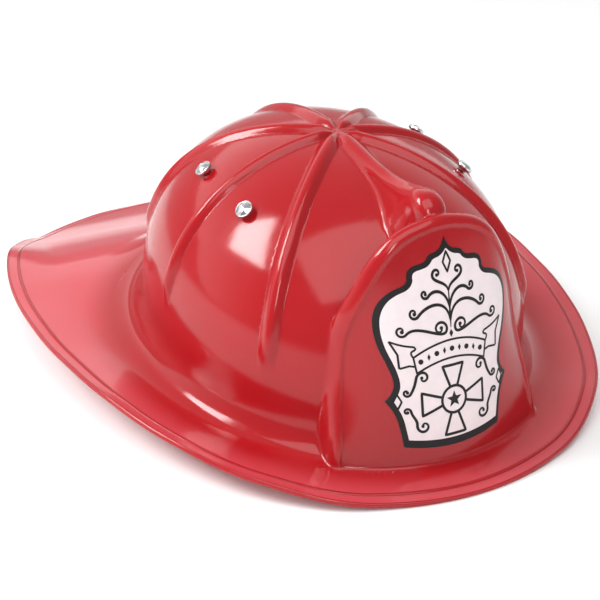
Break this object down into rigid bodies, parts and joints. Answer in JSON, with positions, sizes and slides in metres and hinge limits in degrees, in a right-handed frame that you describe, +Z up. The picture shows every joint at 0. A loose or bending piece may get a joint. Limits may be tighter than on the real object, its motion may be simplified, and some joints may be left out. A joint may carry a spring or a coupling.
{
  "type": "firefighter helmet",
  "caption": "Glossy red moulded firefighter helmet with ribbed dome, drooping rear brim, standing front shield with a plain badge, riveted strap cradle and sliding headband.",
  "frame": {"origin": "on the resting table, under the centre of the helmet's overall outline, on its plane of symmetry", "axes": "+Z up; the helmet faces -Y, so +Y is the rear brim; X = 0 is the plane of symmetry; node names with left and right are as seen from the front, so left is -X and the wearer's own left is +X"},
  "size_m": [0.2766, 0.376, 0.1268],
  "materials": {
    "shell_red": "gloss moulded, slightly translucent red",
    "badge_print": "satin printed label, pale with black line ornament",
    "bright_steel": "bright plated, lightly hammered",
    "washer_steel": "satin",
    "webbing": "woven polyester tape",
    "band_plastic": "fine grained moulded",
    "sweat_pad": "brushed fabric over foam"
  },
  "bodies": {
    "helmet": {"shell": "shell_red", "badge": "badge_print", "rivet_front_left": "bright_steel", "rivet_front_right": "bright_steel", "rivet_rear_left": "bright_steel", "rivet_rear_right": "bright_steel", "washer_front_left": "washer_steel", "washer_front_right": "washer_steel", "washer_rear_left": "washer_steel", "washer_rear_right": "washer_steel", "crown_strap_a": "webbing", "crown_strap_b": "webbing", "crown_rivet": "washer_steel", "hanger_front_left": "webbing", "hanger_front_right": "webbing", "hanger_rear_left": "webbing", "hanger_rear_right": "webbing", "band_stud_front_left": "band_plastic", "band_stud_front_right": "band_plastic", "band_stud_rear_left": "band_plastic", "band_stud_rear_right": "band_plastic", "headband_front": "band_plastic", "keeper_left": "band_plastic", "keeper_right": "band_plastic", "brow_pad": "sweat_pad"},
    "nape_band": {"headband_rear": "band_plastic", "size_stud_left": "band_plastic", "size_stud_right": "band_plastic", "nape_pad": "sweat_pad"}
  },
  "joints": [
    {"name": "size_adjust", "type": "slide", "parent": "helmet", "child": "nape_band", "axis": [0, 0.9956, 0.0932], "range_m": [-0.006, 0.006]}
  ]
}
